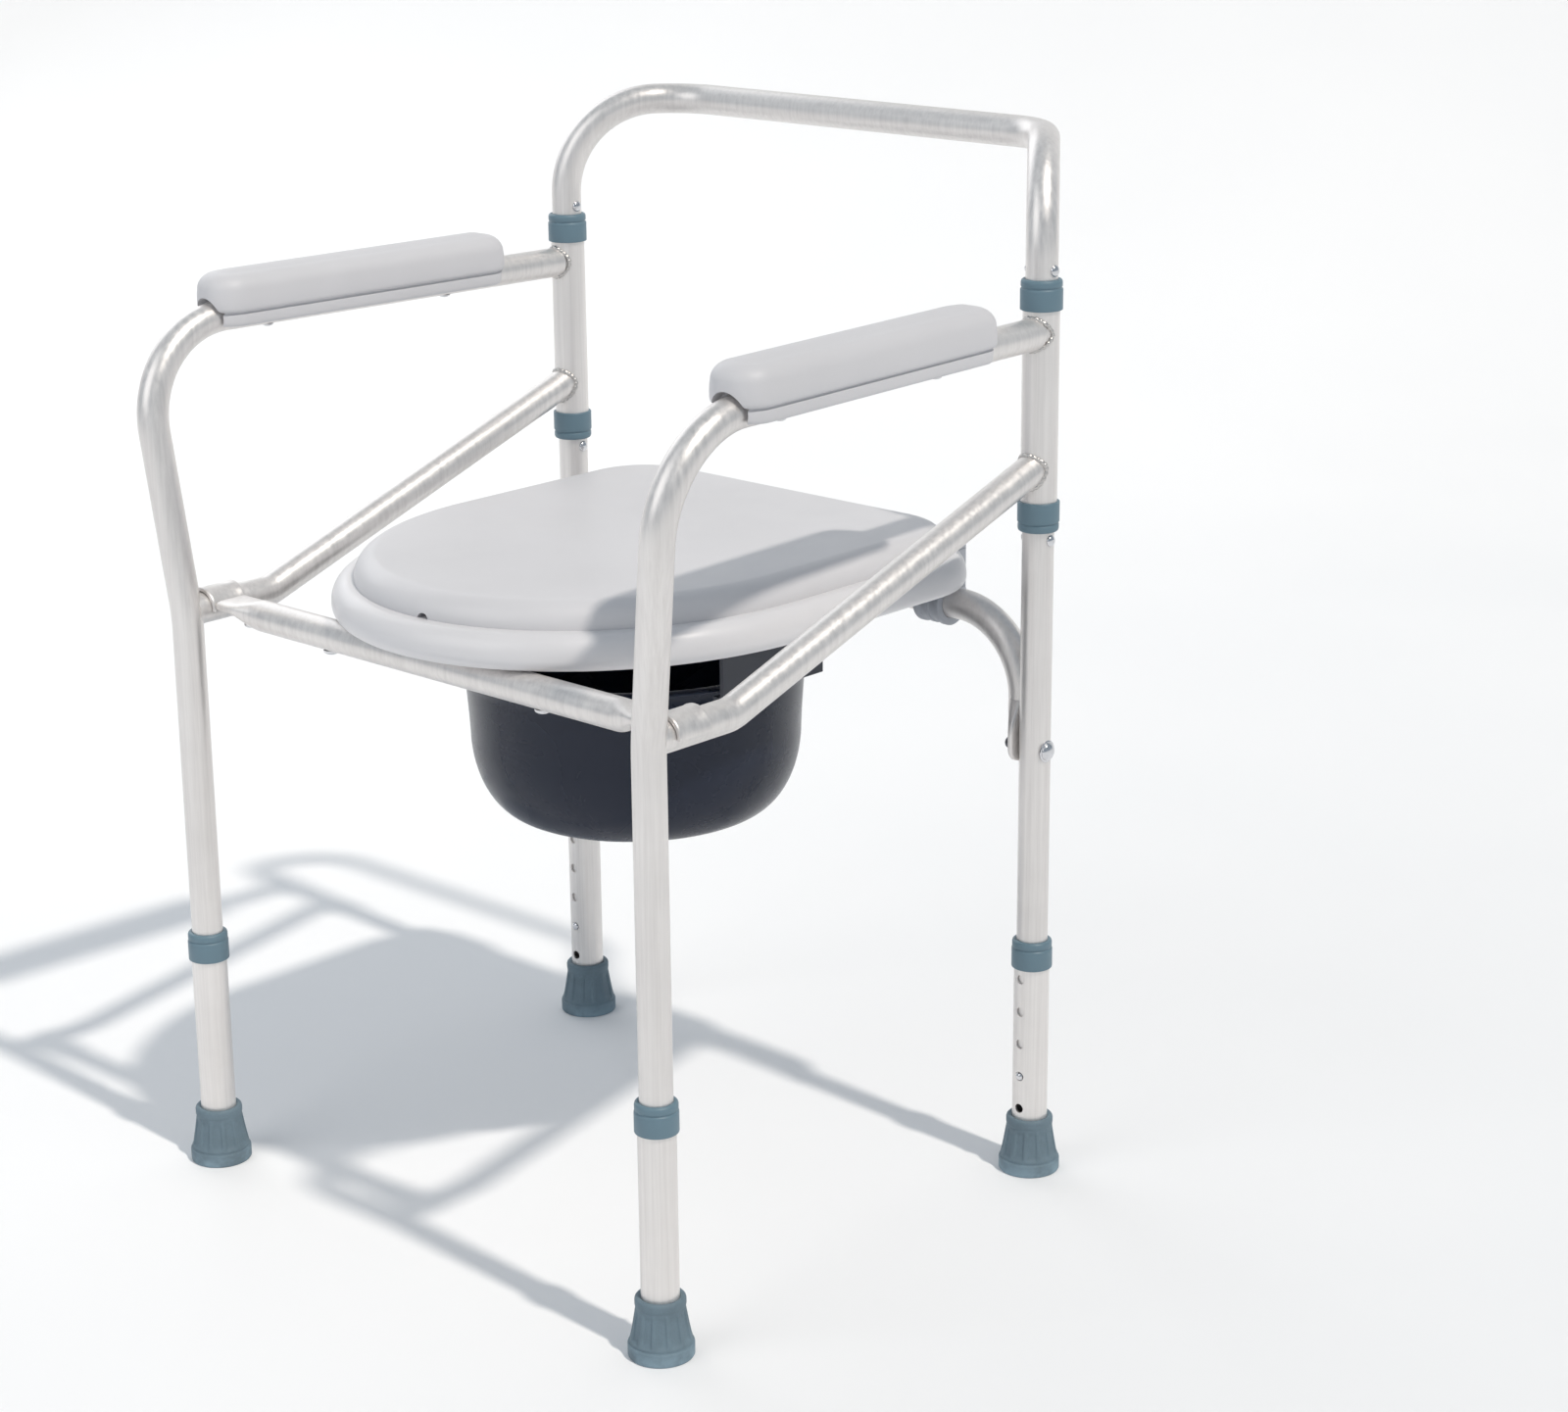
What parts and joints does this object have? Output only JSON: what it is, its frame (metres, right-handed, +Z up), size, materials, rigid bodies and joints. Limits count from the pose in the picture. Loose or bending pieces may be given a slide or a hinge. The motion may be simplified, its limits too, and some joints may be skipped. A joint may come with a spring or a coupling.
{
  "type": "commode chair",
  "caption": "Folding commode chair: tube frame with height-adjustable legs, swinging armed side frames, tip-up seat with hinged lid, and a pail that slides out on rails.",
  "frame": {"origin": "on the floor, on the chair's centre plane, halfway from the front of the front feet to the back of the top rail", "axes": "+Z up, the sitter faces -Y, +X is the sitter's left"},
  "size_m": [0.5438, 0.4893, 0.7491],
  "materials": {
    "frame_tube": "satin silver",
    "leg_tube": "satin silver",
    "bright_steel": "bright",
    "dark_nut": "dark, semi-gloss",
    "collar_plastic": "blue-grey moulded",
    "foot_rubber": "matt blue-grey",
    "pad_plastic": "fine-grained light grey",
    "seat_plastic": "smooth light grey",
    "lid_plastic": "fine-grained light grey",
    "bracket_plastic": "mid grey moulded",
    "rail_plastic": "dark grey moulded",
    "buffer_rubber": "matt grey",
    "pail_plastic": "glossy dark navy"
  },
  "bodies": {
    "back_frame": {"back_hoop": "frame_tube", "rear_crossbar": "frame_tube", "crossbar_bolts": "bright_steel", "crossbar_nuts": "dark_nut", "stop_rivets": "bright_steel"},
    "left_side_frame": {"left_sleeve": "frame_tube", "left_upper_collar": "collar_plastic", "left_lower_collar": "collar_plastic", "left_leg_arm_tube": "frame_tube", "left_brace": "frame_tube", "left_arm_pad": "pad_plastic", "left_pad_screws": "bright_steel"},
    "right_side_frame": {"right_sleeve": "frame_tube", "right_upper_collar": "collar_plastic", "right_lower_collar": "collar_plastic", "right_leg_arm_tube": "frame_tube", "right_brace": "frame_tube", "right_arm_pad": "pad_plastic", "right_pad_screws": "bright_steel"},
    "seat_unit": {"seat": "seat_plastic", "front_bar": "frame_tube", "front_bar_rivets": "bright_steel", "hinge_brackets": "bracket_plastic", "bracket_screws": "bright_steel", "lid_hinge_pins": "bright_steel", "pail_rails": "rail_plastic", "rail_screws": "bright_steel"},
    "lid": {"lid": "lid_plastic", "lid_buffers": "buffer_rubber"},
    "pail": {"pail": "pail_plastic"},
    "rear_left_leg": {"rear_left_extension": "leg_tube", "rear_left_collar": "collar_plastic", "rear_left_foot": "foot_rubber"},
    "rear_left_button_body": {"rear_left_button": "bright_steel"},
    "rear_right_leg": {"rear_right_extension": "leg_tube", "rear_right_collar": "collar_plastic", "rear_right_foot": "foot_rubber"},
    "rear_right_button_body": {"rear_right_button": "bright_steel"},
    "front_left_leg": {"front_left_extension": "leg_tube", "front_left_collar": "collar_plastic", "front_left_foot": "foot_rubber"},
    "front_left_button_body": {"front_left_button": "bright_steel"},
    "front_right_leg": {"front_right_extension": "leg_tube", "front_right_collar": "collar_plastic", "front_right_foot": "foot_rubber"},
    "front_right_button_body": {"front_right_button": "bright_steel"}
  },
  "joints": [
    {"name": "seat_lift", "type": "hinge", "parent": "back_frame", "child": "seat_unit", "pos_m": [0, 0.16987, 0.41], "axis": [-1, 0, 0], "range_deg": [0, 86]},
    {"name": "lid_lift", "type": "hinge", "parent": "seat_unit", "child": "lid", "pos_m": [0, 0.17887, 0.457], "axis": [1, 0, 0], "range_deg": [-93, 0]},
    {"name": "pail_slide", "type": "slide", "parent": "seat_unit", "child": "pail", "axis": [0, 1, 0], "range_m": [0, 0.29]},
    {"name": "left_side_swing", "type": "hinge", "parent": "back_frame", "child": "left_side_frame", "pos_m": [0.23, 0.15837, 0.55], "axis": [0, 0, 1], "range_deg": [-88, 11]},
    {"name": "right_side_swing", "type": "hinge", "parent": "back_frame", "child": "right_side_frame", "pos_m": [-0.23, 0.15837, 0.55], "axis": [0, 0, -1], "range_deg": [-80, 11]},
    {"name": "rear_left_leg_slide", "type": "slide", "parent": "back_frame", "child": "rear_left_leg", "axis": [0, 0, 1], "range_m": [-0.075, 0.025], "deforming": ["rear_left_button"]},
    {"name": "rear_left_button_press", "type": "slide", "parent": "back_frame", "child": "rear_left_button_body", "axis": [0, 1, 0], "range_m": [0, 0.004], "stiffness_N_per_m": 2000},
    {"name": "rear_right_leg_slide", "type": "slide", "parent": "back_frame", "child": "rear_right_leg", "axis": [0, 0, 1], "range_m": [-0.075, 0.025], "deforming": ["rear_right_button"]},
    {"name": "rear_right_button_press", "type": "slide", "parent": "back_frame", "child": "rear_right_button_body", "axis": [0, 1, 0], "range_m": [0, 0.004], "stiffness_N_per_m": 2000},
    {"name": "front_left_leg_slide", "type": "slide", "parent": "left_side_frame", "child": "front_left_leg", "axis": [0, 0, 1], "range_m": [-0.075, 0.025], "deforming": ["front_left_button"]},
    {"name": "front_left_button_press", "type": "slide", "parent": "left_side_frame", "child": "front_left_button_body", "axis": [0, -1, 0], "range_m": [0, 0.004], "stiffness_N_per_m": 2000},
    {"name": "front_right_leg_slide", "type": "slide", "parent": "right_side_frame", "child": "front_right_leg", "axis": [0, 0, 1], "range_m": [-0.075, 0.025], "deforming": ["front_right_button"]},
    {"name": "front_right_button_press", "type": "slide", "parent": "right_side_frame", "child": "front_right_button_body", "axis": [0, -1, 0], "range_m": [0, 0.004], "stiffness_N_per_m": 2000}
  ],
  "couplings": [
    {"joint": "left_side_swing", "follows": "seat_lift", "ratio": 0.12},
    {"joint": "right_side_swing", "follows": "seat_lift", "ratio": 0.12}
  ]
}
